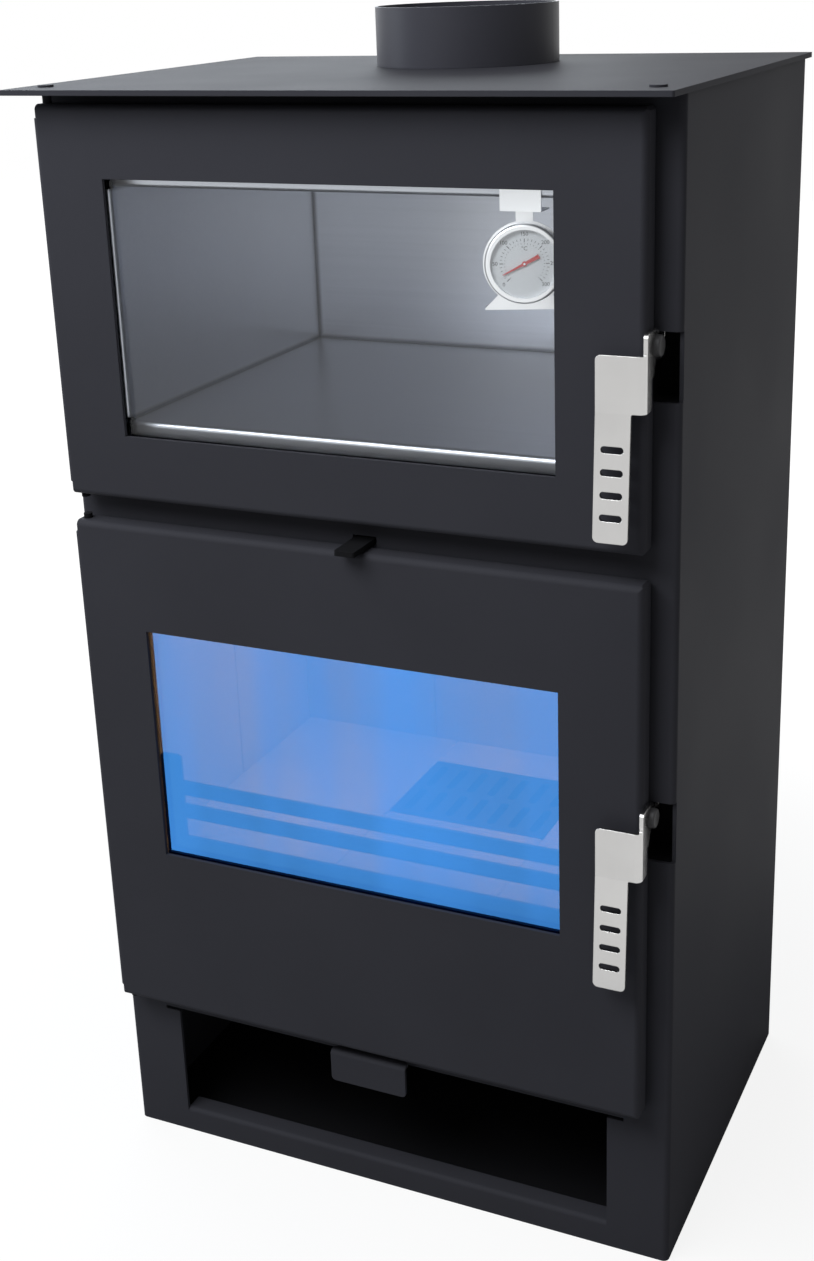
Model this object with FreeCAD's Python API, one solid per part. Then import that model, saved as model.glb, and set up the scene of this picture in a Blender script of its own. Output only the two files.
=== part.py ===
import FreeCAD, Part
import math
import os
from FreeCAD import Vector

# Free-standing wood-burning stove with an oven, in bent sheet steel: an oven door over a fire door,
# a log niche below and a flue collar on top. Millimetres, +Z up, front at -Y,
# origin at the middle of the base, on the floor.

# Casing, base and back
body_width = 510.0
body_depth = 343.0
casing_sheet = 3.0
corner_bend = 5.0
base_sheet = 3.0
back_sheet = 3.0

# Clearances that all pieces share
cut_overrun = 5.0
running_gap = 0.05
sliding_gap = 0.3

# Top plate and flue collar
top_sheet = 4.0
top_front_overhang = 44.0
top_side_overhang = 5.0
top_back_overhang = 3.0
top_corner = 2.0
flue_diameter = 150.0
flue_wall = 2.0
flue_height = 46.5
flue_ledge = 1.0
flue_back_gap = 26.0

# Door pans
door_stand = 22.0
door_sheet = 3.0
door_bend = 5.0
door_back_gap = 5.0
door_left_margin = 6.3
door_right_margin = 18.7
door_corner_cut = 2.5
hinge_notch_width = 3.6
hinge_notch_height = 10.5
door_gap = 22.5
fire_door_bottom = 147.5
fire_door_height = 448.0
oven_door_height = 307.0
oven_door_top_gap = 8.0

# Windows, measured in from the edges of their doors
oven_window_left = 59.0
oven_window_right = 65.5
oven_window_top = 54.5
oven_window_bottom = 52.5
fire_window_left = 62.0
fire_window_right = 65.0
fire_window_top = 90.0
fire_window_bottom = 153.0

# Glass, its tape, clips and screws
glass_sheet = 4.0
glass_overlap = 10.0
glass_corner = 2.0
tape_sheet = 1.5
tape_setback = 1.0
clip_sheet = 2.0
clip_width = 20.0
clip_foot = 14.0
clip_gap = 1.5
clip_reach = 4.5
clip_height_shares = (0.22, 0.78)
screw_diameter = 4.0
screw_head_diameter = 6.0
screw_head = 2.5

# Sealing rope and the channel that holds it
rope_width = 10.0
rope_round = 3.5
rope_corner = 14.0
rope_edge_gap = 9.5
channel_sheet = 2.0
channel_lift = 5.5
channel_back_gap = 6.0

# Oven liner
oven_floor_rise = 7.5
oven_ceiling_drop = 8.5
oven_rear_gap = 13.0
liner_sheet = 1.5
liner_bend = 4.0
liner_flange = 12.0
liner_corner_gap = 2.0
bracket_sheet = 3.0
bracket_overlap = 15.0
bracket_leg = 30.0
bracket_width = 240.0

# Hinges
pin_diameter = 7.0
pin_inset = 8.7
pin_stand = 12.0
pin_show = 4.0
pin_head_diameter = 12.0
pin_head = 1.5
lug_sheet = 4.0
lug_nose = 6.5
lug_neck = 3.5
lug_side = 8.0
lug_boss_radius = 5.0
lug_gap = 1.5

# Handles and their bolts
oven_pivot_rise = 149.5
fire_pivot_rise = 263.5
pivot_stand = 12.0
handle_sheet = 3.0
handle_bend = 5.0
handle_stand = 13.5
handle_width = 35.5
grip_width = 25.5
grip_lean = 6.0
grip_corner = 4.0
handle_drop = 135.0
bend_drop = 43.5
plate_drop = 3.5
wing_drop = 21.0
strip_depth = 15.0
ear_setback = 5.0
ear_radius = 11.0
tongue_reach = 26.5
tongue_drop = 11.5
nose_length = 6.5
nose_height = 5.0
nose_gap = 0.5
edge_round = 1.5
grip_slot_count = 4
grip_slot_length = 16.5
grip_slot_width = 5.0
grip_slot_pitch = 16.0
grip_slot_rise = 18.0
bolt_diameter = 6.0
bolt_head_diameter = 15.0
bolt_head = 4.5
washer_sheet = 1.0
washer_diameter = 12.0
nut_flats = 10.0
nut_height = 5.0

# Latch slots at the right front corner
slot_width = 25.0
slot_rise = 7.0
slot_drop = 43.0
pocket_sheet = 2.0
pocket_depth = 30.0

# Log niche
niche_margin = 52.5
niche_bottom = 23.5
niche_top_gap = 17.5
niche_lip = 15.0
niche_lip_bend = 4.0
niche_relief_width = 14.0
niche_relief_height = 3.0

# Primary air slide under the fire door
slide_sheet = 3.0
slide_x = -5.0
slide_width = 64.0
slide_length = 90.0
slide_drop = 8.5
slide_bend = 4.0
tab_width = 70.0
tab_height = 29.5
tab_stand = 17.0
tab_corner = 4.0
rail_sheet = 2.0
rail_lip = 6.0
rail_length = 130.0
inlet_count = 3
inlet_width = 8.0
inlet_length = 44.0
inlet_pitch = 14.0
inlet_setback = 42.0
ceiling_sheet = 3.0

# Smoke damper between the firebox and the oven, with its pull lever between the doors
lever_x = 6.5
lever_width = 17.0
lever_sheet = 4.0
lever_stand = 36.0
lever_lift = 1.5
lever_corner = 2.0
lever_slot_gap = 1.5
damper_travel = 45.0
damper_width = 160.0
damper_depth = 90.0
damper_setback = 60.0
port_width = 140.0
port_depth = 36.0
port_lap = 9.0
port_corner = 4.0
side_port_width = 30.0
side_port_length = 180.0
side_port_gap = 20.0
shelf_sheet = 4.0
guide_sheet = 2.0
guide_lip = 8.0

# Firebox
fire_opening_rise = 27.0
fire_opening_drop = 32.0
floor_drop = 20.5
floor_plate = 4.0
floor_brick = 26.0
brick = 25.0
brick_chamfer = 1.5
brick_top_gap = 4.0
brick_front_gap = 4.0
side_brick_count = 2
back_brick_count = 3
baffle_sheet = 6.0
baffle_seat = 15.0
baffle_front_gap = 70.0

# Grate
grate_x = 15.0
grate_width = 150.0
grate_front_gap = 140.0
grate_back_gap = 50.0
grate_rim = 9.0
grate_slot_count = 7
grate_slot_width = 8.0
grate_seat = 8.0

# Log guard
guard_sheet = 3.0
guard_setback = 9.0
guard_side_gap = 45.0
guard_post_width = 20.0
guard_post_rise = 24.0
guard_lip_height = 47.0
guard_low_gap = 18.0
guard_bar = 13.0
guard_high_gap = 9.0
guard_corner = 3.0

# Ash pan and its runners
pan_width = 210.0
pan_sheet = 2.0
pan_headroom = 12.0
pan_front_gap = 12.0
pan_back_gap = 60.0
pan_lip = 10.0
runner_width = 24.0
runner_pitch = 130.0
runner_sheet = 2.0
runner_sill_gap = 1.0

# Hanging oven thermometer
thermo_side_gap = 46.1
thermo_turn = 18.0
thermo_setback = 4.0
clip_leaf = 21.0
clip_plate_width = 30.5
clip_plate_sheet = 1.0
hook_drop = 6.0
hook_notch_gap = 2.0
neck_length = 7.5
neck_width = 12.0
ring_radius = 29.5
ring_sheet = 1.0
foot_drop = 32.0
foot_height = 12.0
foot_width = 57.0
foot_depth = 12.0
case_radius = 28.0
case_depth = 7.0
case_round = 2.0
dial_radius = 24.0
dial_depth = 3.8
dial_sheet = 0.5
lens_sheet = 0.8
lens_setback = 0.3
needle_sheet = 0.5
needle_lift = 0.8
needle_tip = 17.0
needle_tail = 11.5
needle_hub = 1.8
needle_point = 0.6
needle_tail_width = 3.0
spindle_diameter = 1.5
spindle_gap = 0.05
needle_angle = 117.0

# Planes and places worked out from the sizes above
front_y = -body_depth / 2
back_y = body_depth / 2
half_width = body_width / 2
inner_half = half_width - casing_sheet
inner_front = front_y + casing_sheet
inner_back = back_y - back_sheet
door_left = -half_width + door_left_margin
door_right = half_width - door_right_margin
door_mid = (door_left + door_right) / 2
door_front = front_y - door_stand
skin_back = door_front + door_sheet
flange_back = front_y - door_back_gap
fire_door_top = fire_door_bottom + fire_door_height
oven_door_bottom = fire_door_top + door_gap
oven_door_top = oven_door_bottom + oven_door_height
body_height = oven_door_top + oven_door_top_gap
pin_x = door_left + pin_inset
pin_y = front_y - pin_stand
pin_radius = pin_diameter / 2
glass_front = skin_back + tape_sheet
glass_back = glass_front + glass_sheet
rope_front = skin_back + channel_lift + channel_sheet
rope_back = front_y - sliding_gap
pivot_y = front_y - pivot_stand
oven_pivot_z = oven_door_bottom + oven_pivot_rise
fire_pivot_z = fire_door_bottom + fire_pivot_rise
oven_window = (door_left + oven_window_left, door_right - oven_window_right,
               oven_door_bottom + oven_window_bottom, oven_door_top - oven_window_top)
fire_window = (door_left + fire_window_left, door_right - fire_window_right,
               fire_door_bottom + fire_window_bottom, fire_door_top - fire_window_top)
clip_span = sliding_gap + clip_sheet + clip_foot + clip_gap + channel_sheet
oven_rope_half = glass_overlap + clip_span + door_mid - oven_window[0]
fire_rope_half = glass_overlap + clip_span + door_mid - fire_window[0]
oven_half = oven_rope_half - rope_edge_gap - liner_flange
oven_left = door_mid - oven_half
oven_right = door_mid + oven_half
oven_floor = oven_window[2] + oven_floor_rise
oven_ceiling = oven_window[3] - oven_ceiling_drop
liner_back = inner_back - oven_rear_gap
thermo_x = oven_right - thermo_side_gap
fire_half = fire_rope_half - rope_edge_gap
fire_opening = (door_mid - fire_half, door_mid + fire_half,
                fire_door_bottom + fire_opening_rise, fire_door_top - fire_opening_drop)
flange_edge = (oven_left - liner_flange, oven_right + liner_flange,
               oven_floor - liner_flange, oven_ceiling + liner_flange)
slide_top = fire_door_bottom - slide_drop
ceiling_bottom = slide_top + sliding_gap
ceiling_top = ceiling_bottom + ceiling_sheet
niche_top = fire_door_bottom - niche_top_gap
lever_bottom = fire_door_top + lever_lift
lever_top = lever_bottom + lever_sheet
grate_top = fire_window[2] - floor_drop
plate_top = grate_top - floor_brick
plate_bottom = plate_top - floor_plate
brick_top = fire_opening[3] - brick_top_gap
guard_front = inner_front + guard_setback
guard_back = guard_front + guard_sheet
side_brick_front = front_y + corner_bend + pocket_depth + brick_front_gap
back_brick_face = inner_back - brick


# Shape helpers: flat outlines with rounded corners, pushed out along one axis
def box(x0, x1, y0, y1, z0, z1):
    return Part.makeBox(x1 - x0, y1 - y0, z1 - z0, Vector(x0, y0, z0))


def rounded_wire(points, radii):
    legs = []
    for i, corner in enumerate(points):
        if radii[i] == 0:
            legs.append((corner, None, corner))
            continue
        back = (points[i - 1] - corner).normalize()
        ahead = (points[(i + 1) % len(points)] - corner).normalize()
        half = back.getAngle(ahead) / 2
        trim = radii[i] / math.tan(half)
        middle = (back + ahead).normalize()
        crown = corner + middle * (radii[i] / math.sin(half) - radii[i])
        legs.append((corner + back * trim, crown, corner + ahead * trim))
    edges = []
    for i, (start, crown, end) in enumerate(legs):
        if crown is not None:
            edges.append(Part.Arc(start, crown, end).toShape())
        follow = legs[(i + 1) % len(legs)][0]
        if end.distanceToPoint(follow) > Part.Precision.confusion():
            edges.append(Part.LineSegment(end, follow).toShape())
    return Part.Wire(edges)


def plate_xz(corners, y0, y1):
    points = [Vector(x, y0, z) for x, z, r in corners]
    face = Part.Face(rounded_wire(points, [r for x, z, r in corners]))
    return face.extrude(Vector(0, y1 - y0, 0))


def plate_yz(corners, x0, x1):
    points = [Vector(x0, y, z) for y, z, r in corners]
    face = Part.Face(rounded_wire(points, [r for y, z, r in corners]))
    return face.extrude(Vector(x1 - x0, 0, 0))


def plate_xy(corners, z0, z1):
    points = [Vector(x, y, z0) for x, y, r in corners]
    face = Part.Face(rounded_wire(points, [r for x, y, r in corners]))
    return face.extrude(Vector(0, 0, z1 - z0))


def rectangle(a0, a1, b0, b1, r=0):
    return [(a0, b0, r), (a1, b0, r), (a1, b1, r), (a0, b1, r)]


def grown(frame, by):
    return (frame[0] - by, frame[1] + by, frame[2] - by, frame[3] + by)


def ring_xz(outer, inner, y0, y1, r_outer=0, r_inner=0):
    hole = plate_xz(rectangle(*inner, r_inner), y0 - cut_overrun, y1 + cut_overrun)
    return plate_xz(rectangle(*outer, r_outer), y0, y1).cut(hole)


def rod(axis, x, y, z, length, radius):
    return Part.makeCylinder(radius, length, Vector(x, y, z), axis)


def join(shapes):
    return shapes[0].multiFuse(shapes[1:]).removeSplitter()


def round_edges(shape, radius, chosen):
    return shape.makeFillet(radius, [edge for edge in shape.Edges if chosen(edge)])


def in_plane_y(edge, y):
    return all(abs(v.Y - y) < Part.Precision.confusion() for v in edge.Vertexes)


X = Vector(1, 0, 0)
Y = Vector(0, 1, 0)
Z = Vector(0, 0, 1)
nodes = {}


# Outer casing: one sheet bent round the front corners, with every opening cut in its front
def outer_casing():
    inner_bend = corner_bend - casing_sheet
    wrap = plate_xy([(-half_width, back_y, 0), (-half_width, front_y, corner_bend),
                     (half_width, front_y, corner_bend), (half_width, back_y, 0),
                     (inner_half, back_y, 0), (inner_half, inner_front, inner_bend),
                     (-inner_half, inner_front, inner_bend), (-inner_half, back_y, 0)], 0, body_height)
    y0 = front_y - cut_overrun
    y1 = inner_front + cut_overrun
    niche_half = half_width - niche_margin
    tube = liner_bend + sliding_gap
    cuts = [plate_xz(rectangle(oven_left - tube, oven_right + tube, oven_floor - tube,
                               oven_ceiling + tube), y0, y1),
            plate_xz(rectangle(*fire_opening), y0, y1),
            plate_xz(rectangle(-niche_half, niche_half, niche_bottom, niche_top), y0, y1)]
    for side in (-niche_half, niche_half):
        cuts.append(box(side - niche_relief_width, side + niche_relief_width, y0, y1,
                        niche_top - niche_relief_height, niche_top))
    for pivot_z in (oven_pivot_z, fire_pivot_z):
        cuts.append(box(half_width - slot_width, half_width + cut_overrun, y0, front_y + corner_bend,
                        pivot_z - slot_drop, pivot_z + slot_rise))
    lever_half = lever_width / 2 + lever_slot_gap
    cuts.append(box(lever_x - lever_half, lever_x + lever_half, y0, y1,
                    lever_bottom - lever_slot_gap, lever_top + lever_slot_gap))
    slide_half = slide_width / 2 + sliding_gap
    cuts.append(box(slide_x - slide_half, slide_x + slide_half, y0, y1,
                    slide_top - slide_sheet - sliding_gap, slide_top + sliding_gap))
    notch_half = clip_plate_width / 2 + hook_notch_gap
    cuts.append(box(thermo_x - notch_half, thermo_x + notch_half, y0, y1,
                    oven_ceiling, flange_edge[3] + clip_plate_sheet + hook_notch_gap))
    lip = plate_yz([(front_y, niche_bottom, niche_lip_bend),
                    (inner_front + niche_lip, niche_bottom, 0),
                    (inner_front + niche_lip, niche_bottom - casing_sheet, 0),
                    (inner_front, niche_bottom - casing_sheet, niche_lip_bend - casing_sheet),
                    (inner_front, base_sheet + casing_sheet, 0),
                    (front_y, base_sheet + casing_sheet, 0)], -niche_half, niche_half)
    rim = box(-niche_half, niche_half, y0, inner_front, base_sheet + casing_sheet, niche_bottom)
    return join([wrap.cut(cuts).cut(rim), lip])


nodes["outer_casing"] = outer_casing()
nodes["back_panel"] = box(-inner_half, inner_half, inner_back, back_y, 0, body_height)
nodes["base_plate"] = plate_xy([(-inner_half, inner_back, 0),
                                (-inner_half, inner_front, corner_bend - casing_sheet),
                                (inner_half, inner_front, corner_bend - casing_sheet),
                                (inner_half, inner_back, 0)], 0, base_sheet)


# Top plate with its flue hole and the two holes near its front corners, and the collar welded on it
def flue_place():
    return inner_back - flue_back_gap - flue_diameter / 2


def top_plate():
    plate = plate_xy(rectangle(-half_width - top_side_overhang, half_width + top_side_overhang,
                               front_y - top_front_overhang, back_y + top_back_overhang, top_corner),
                     body_height, body_height + top_sheet)
    below = body_height - cut_overrun
    depth = top_sheet + 2 * cut_overrun
    holes = [rod(Z, 0, flue_place(), below, depth, flue_diameter / 2 - flue_wall - flue_ledge)]
    for x in (pin_x, -pin_x):
        holes.append(rod(Z, x, pin_y, below, depth, pin_radius + running_gap))
    return plate.cut(holes)


def flue_collar():
    bottom = body_height + top_sheet
    tube = rod(Z, 0, flue_place(), bottom, flue_height, flue_diameter / 2)
    bore = rod(Z, 0, flue_place(), bottom - cut_overrun, flue_height + 2 * cut_overrun,
               flue_diameter / 2 - flue_wall)
    return tube.cut(bore)


def headed_stud(x, z_low):
    top = body_height + top_sheet
    shank = rod(Z, x, pin_y, z_low, top - z_low, pin_radius)
    head = rod(Z, x, pin_y, top, pin_head, pin_head_diameter / 2)
    return join([shank, head])


nodes["top_plate"] = top_plate()
nodes["flue_collar"] = flue_collar()
nodes["top_plate_screw"] = headed_stud(-pin_x, body_height - pin_head)


# Oven liner: a stainless box whose front edges turn outwards over the casing, open at the corners
def oven_liner():
    outer = box(oven_left - liner_sheet, oven_right + liner_sheet, front_y, liner_back,
                oven_floor - liner_sheet, oven_ceiling + liner_sheet)
    inner = box(oven_left, oven_right, front_y - cut_overrun, liner_back - liner_sheet,
                oven_floor, oven_ceiling)
    face_y = front_y - liner_sheet
    wall_y = front_y + liner_bend
    trim = box(oven_left - liner_sheet, oven_right + liner_sheet, front_y, wall_y,
               oven_floor - liner_sheet, oven_ceiling + liner_sheet)
    pieces = [outer.cut([inner, trim])]
    for level, out in ((oven_floor, -1), (oven_ceiling, 1)):
        pieces.append(plate_yz([(wall_y, level, 0), (face_y, level, liner_bend),
                                (face_y, level + out * liner_flange, 0),
                                (front_y, level + out * liner_flange, 0),
                                (front_y, level + out * liner_sheet, liner_bend - liner_sheet),
                                (wall_y, level + out * liner_sheet, 0)],
                               oven_left + liner_corner_gap, oven_right - liner_corner_gap))
    for side, out in ((oven_left, -1), (oven_right, 1)):
        pieces.append(plate_xy([(side, wall_y, 0), (side, face_y, liner_bend),
                                (side + out * liner_flange, face_y, 0),
                                (side + out * liner_flange, front_y, 0),
                                (side + out * liner_sheet, front_y, liner_bend - liner_sheet),
                                (side + out * liner_sheet, wall_y, 0)],
                               oven_floor + liner_corner_gap, oven_ceiling - liner_corner_gap))
    return join(pieces)


nodes["oven_liner"] = oven_liner()
seat_z = oven_floor - liner_sheet
nodes["oven_bracket"] = plate_yz([(inner_back, seat_z, 0), (liner_back - bracket_overlap, seat_z, 0),
                                  (liner_back - bracket_overlap, seat_z - bracket_sheet, 0),
                                  (inner_back - bracket_sheet, seat_z - bracket_sheet, 0),
                                  (inner_back - bracket_sheet, seat_z - bracket_leg, 0),
                                  (inner_back, seat_z - bracket_leg, 0)],
                                 -bracket_width / 2, bracket_width / 2)


# Thermometer: a clip over the liner's top edge, a ring bracket with a foot, and a round dial case
lip_z = flange_edge[3] - clip_leaf
thermo_z = lip_z - neck_length - ring_radius
thermo_y = front_y + thermo_setback
leaf_back = front_y - liner_sheet - sliding_gap
hook_front = front_y + sliding_gap
clip_top = flange_edge[3] + clip_plate_sheet
lip_back = thermo_y + case_depth / 2 + foot_depth / 2


def hung(shape):
    shape.rotate(Vector(0, 0, 0), Z, thermo_turn)
    shape.translate(Vector(thermo_x, thermo_y, thermo_z))
    return shape


nodes["thermometer_clip"] = plate_yz([(leaf_back - clip_plate_sheet, lip_z, 0),
                                      (leaf_back - clip_plate_sheet, clip_top, 0),
                                      (hook_front + clip_plate_sheet, clip_top, 0),
                                      (hook_front + clip_plate_sheet, clip_top - hook_drop, 0),
                                      (hook_front, clip_top - hook_drop, 0),
                                      (hook_front, flange_edge[3], 0), (leaf_back, flange_edge[3], 0),
                                      (leaf_back, lip_z + clip_plate_sheet, 0),
                                      (lip_back, lip_z + clip_plate_sheet, 0), (lip_back, lip_z, 0)],
                                     thermo_x - clip_plate_width / 2, thermo_x + clip_plate_width / 2)


def thermometer_bracket():
    y0 = case_depth / 2
    y1 = y0 + ring_sheet
    disc = rod(Y, 0, y0, 0, ring_sheet, ring_radius)
    neck = box(-neck_width / 2, neck_width / 2, y0, y1, 0, ring_radius + neck_length)
    waist = foot_width / 2 - foot_height
    foot = plate_xz([(-foot_width / 2, -foot_drop, 0), (foot_width / 2, -foot_drop, 0),
                     (waist, foot_height - foot_drop, 0), (-waist, foot_height - foot_drop, 0)], y0, y1)
    sole = box(-foot_width / 2, foot_width / 2, y0, y0 + foot_depth, -foot_drop - ring_sheet, -foot_drop)
    return hung(join([disc, neck, foot, sole]))


def thermometer_case():
    front = -case_depth / 2
    cup = round_edges(rod(Y, 0, front, 0, case_depth, case_radius), case_round,
                      lambda edge: in_plane_y(edge, front))
    well = rod(Y, 0, front - cut_overrun, 0, cut_overrun + dial_depth, dial_radius)
    spindle = rod(Y, 0, front + lens_setback + lens_sheet + spindle_gap, 0,
                  dial_depth - lens_setback - lens_sheet, spindle_diameter / 2)
    return hung(join([cup.cut(well), spindle]))


def thermometer_dial():
    back = dial_depth - case_depth / 2
    disc = rod(Y, 0, back - dial_sheet, 0, dial_sheet, dial_radius - running_gap)
    return hung(disc.cut(rod(Y, 0, back - cut_overrun, 0, 2 * cut_overrun,
                             spindle_diameter / 2 + spindle_gap)))


def thermometer_lens():
    front = lens_setback - case_depth / 2
    return hung(rod(Y, 0, front, 0, lens_sheet, dial_radius - running_gap))


def thermometer_needle():
    back = dial_depth - case_depth / 2 - dial_sheet - needle_lift
    y0 = back - needle_sheet
    blade = plate_xz([(-needle_point / 2, needle_tip, 0), (-needle_hub / 2, 0, 0),
                      (-needle_tail_width / 2, -needle_tail, 0), (needle_tail_width / 2, -needle_tail, 0),
                      (needle_hub / 2, 0, 0), (needle_point / 2, needle_tip, 0)], y0, back)
    needle = join([blade, rod(Y, 0, y0, 0, needle_sheet, needle_hub)])
    needle = needle.cut(rod(Y, 0, back - cut_overrun, 0, 2 * cut_overrun,
                            spindle_diameter / 2 + spindle_gap))
    needle.rotate(Vector(0, 0, 0), Y, -needle_angle)
    return hung(needle)


nodes["thermometer_bracket"] = thermometer_bracket()
nodes["thermometer_case"] = thermometer_case()
nodes["thermometer_dial"] = thermometer_dial()
nodes["thermometer_lens"] = thermometer_lens()
nodes["thermometer_needle"] = thermometer_needle()


# Hinges on the left: lugs welded to the casing front, inside the corners of the door pans. Each door's top
# flange turns on the boss of its upper lug, and plain pins hold the flanges in place
def hinge_lug(z0, up):
    nose = rod(Z, pin_x, pin_y, z0, lug_sheet, lug_nose)
    neck = box(pin_x - lug_neck, pin_x + lug_side, pin_y, front_y, z0, z0 + lug_sheet)
    boss_z = z0 + lug_sheet if up else z0 - lug_gap + running_gap
    boss = rod(Z, pin_x, pin_y, boss_z, lug_gap - running_gap, lug_boss_radius)
    hole = rod(Z, pin_x, pin_y, z0 - cut_overrun, lug_sheet + 2 * cut_overrun, pin_radius + running_gap)
    return join([nose, neck, boss]).cut(hole)


def hinge_pin(z_low, z_high):
    return rod(Z, pin_x, pin_y, z_low, z_high - z_low, pin_radius)


lug_inset = door_sheet + lug_gap
oven_upper_z = oven_door_top - lug_inset - lug_sheet
oven_lower_z = oven_door_bottom + lug_inset
fire_upper_z = fire_door_top - lug_inset - lug_sheet
fire_lower_z = fire_door_bottom + lug_inset
nodes["oven_upper_lug"] = hinge_lug(oven_upper_z, True)
nodes["oven_lower_lug"] = hinge_lug(oven_lower_z, False)
nodes["fire_upper_lug"] = hinge_lug(fire_upper_z, True)
nodes["fire_lower_lug"] = hinge_lug(fire_lower_z, False)
nodes["oven_top_pin"] = headed_stud(pin_x, oven_upper_z)
nodes["oven_lower_pin"] = hinge_pin(oven_door_bottom - pin_show, oven_lower_z + lug_sheet)
nodes["fire_upper_pin"] = hinge_pin(fire_upper_z, fire_door_top + pin_show)
nodes["fire_lower_pin"] = hinge_pin(fire_door_bottom - pin_show, fire_lower_z + lug_sheet)


# Latch pockets: small boxes behind the corner slots, against the casing's right side
def latch_pocket(pivot_z):
    x0 = half_width - slot_width - pocket_sheet
    y0 = front_y + corner_bend
    z0 = pivot_z - slot_drop
    z1 = pivot_z + slot_rise
    outer = box(x0, inner_half, y0, y0 + pocket_depth, z0 - pocket_sheet, z1 + pocket_sheet)
    inner = box(x0 + pocket_sheet, inner_half + cut_overrun, y0 - cut_overrun,
                y0 + pocket_depth - pocket_sheet, z0, z1)
    return outer.cut(inner)


nodes["oven_latch_pocket"] = latch_pocket(oven_pivot_z)
nodes["fire_latch_pocket"] = latch_pocket(fire_pivot_z)


# Doors: a bent pan, a rope channel welded inside it, and glass held by tape, clips and screws
def door_pan(z0, z1, window, pivot_z):
    outer = box(door_left, door_right, door_front, flange_back, z0, z1)
    outer = round_edges(outer, door_bend, lambda edge: in_plane_y(edge, door_front))
    inner = box(door_left + door_sheet, door_right - door_sheet, skin_back, flange_back + cut_overrun,
                z0 + door_sheet, z1 - door_sheet)
    inner = round_edges(inner, door_bend - door_sheet, lambda edge: in_plane_y(edge, skin_back))
    y0 = door_front - cut_overrun
    y1 = flange_back + cut_overrun
    cuts = [inner, plate_xz(rectangle(*window), y0, skin_back + cut_overrun)]
    for z, up in ((z0, 1), (z1, -1)):
        edge = z - up * cut_overrun
        cuts.append(plate_xz([(door_right + cut_overrun, edge, 0), (door_right - door_corner_cut, edge, 0),
                              (door_right - door_corner_cut, z, 0), (door_right, z + up * door_corner_cut, 0),
                              (door_right + cut_overrun, z + up * door_corner_cut, 0)], y0, y1))
        notch = z + up * hinge_notch_height
        cuts.append(box(door_left - cut_overrun, door_left + hinge_notch_width, y0, y1,
                        min(edge, notch), max(edge, notch)))
        cuts.append(rod(Z, pin_x, pin_y, z - door_sheet - cut_overrun, 2 * (door_sheet + cut_overrun),
                        pin_radius + running_gap))
    cuts.append(rod(X, door_right - cut_overrun, pivot_y, pivot_z, 2 * cut_overrun,
                    bolt_diameter / 2 + running_gap))
    return outer.cut(cuts)


def seal_parts(opening):
    rope_in = grown(opening, rope_edge_gap)
    rope_out = grown(rope_in, rope_width)
    channel_back = front_y - channel_back_gap
    walls = [ring_xz(grown(rope_out, channel_sheet), rope_out, skin_back, channel_back,
                     rope_corner + channel_sheet, rope_corner),
             ring_xz(rope_in, grown(rope_in, -channel_sheet), skin_back, channel_back,
                     rope_corner - rope_width, rope_corner - rope_width - channel_sheet),
             ring_xz(grown(rope_out, channel_sheet), grown(rope_in, -channel_sheet),
                     rope_front - channel_sheet, rope_front,
                     rope_corner + channel_sheet, rope_corner - rope_width - channel_sheet)]
    rope = ring_xz(grown(rope_out, -sliding_gap), grown(rope_in, sliding_gap), rope_front, rope_back,
                   rope_corner - sliding_gap, rope_corner - rope_width + sliding_gap)
    rope = round_edges(rope, rope_round, lambda edge: in_plane_y(edge, rope_back))
    return join(walls), rope


def glass_parts(window):
    pane = grown(window, glass_overlap)
    glass = plate_xz(rectangle(*pane, glass_corner), glass_front, glass_back)
    tape = ring_xz(pane, grown(window, tape_setback), skin_back, glass_front, glass_corner)
    clips = []
    screws = []
    for edge, out in ((pane[0], -1), (pane[1], 1)):
        riser_in = edge + out * sliding_gap
        riser_out = riser_in + out * clip_sheet
        foot_end = riser_out + out * clip_foot
        tip = edge - out * clip_reach
        screw_x = (riser_out + foot_end) / 2
        for share in clip_height_shares:
            z = pane[2] + share * (pane[3] - pane[2])
            clip = plate_xy([(foot_end, skin_back, 0), (riser_in, skin_back, 0), (riser_in, glass_back, 0),
                             (tip, glass_back, 0), (tip, glass_back + clip_sheet, 0),
                             (riser_out, glass_back + clip_sheet, 0),
                             (riser_out, skin_back + clip_sheet, 0),
                             (foot_end, skin_back + clip_sheet, 0)], z - clip_width / 2, z + clip_width / 2)
            clips.append(clip.cut(rod(Y, screw_x, skin_back - cut_overrun, z, 2 * cut_overrun,
                                      screw_diameter / 2 + running_gap)))
            shank = rod(Y, screw_x, skin_back, z, clip_sheet, screw_diameter / 2)
            head = rod(Y, screw_x, skin_back + clip_sheet, z, screw_head, screw_head_diameter / 2)
            screws.append(join([shank, head]))
    return glass, tape, Part.makeCompound(clips), Part.makeCompound(screws)


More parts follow.
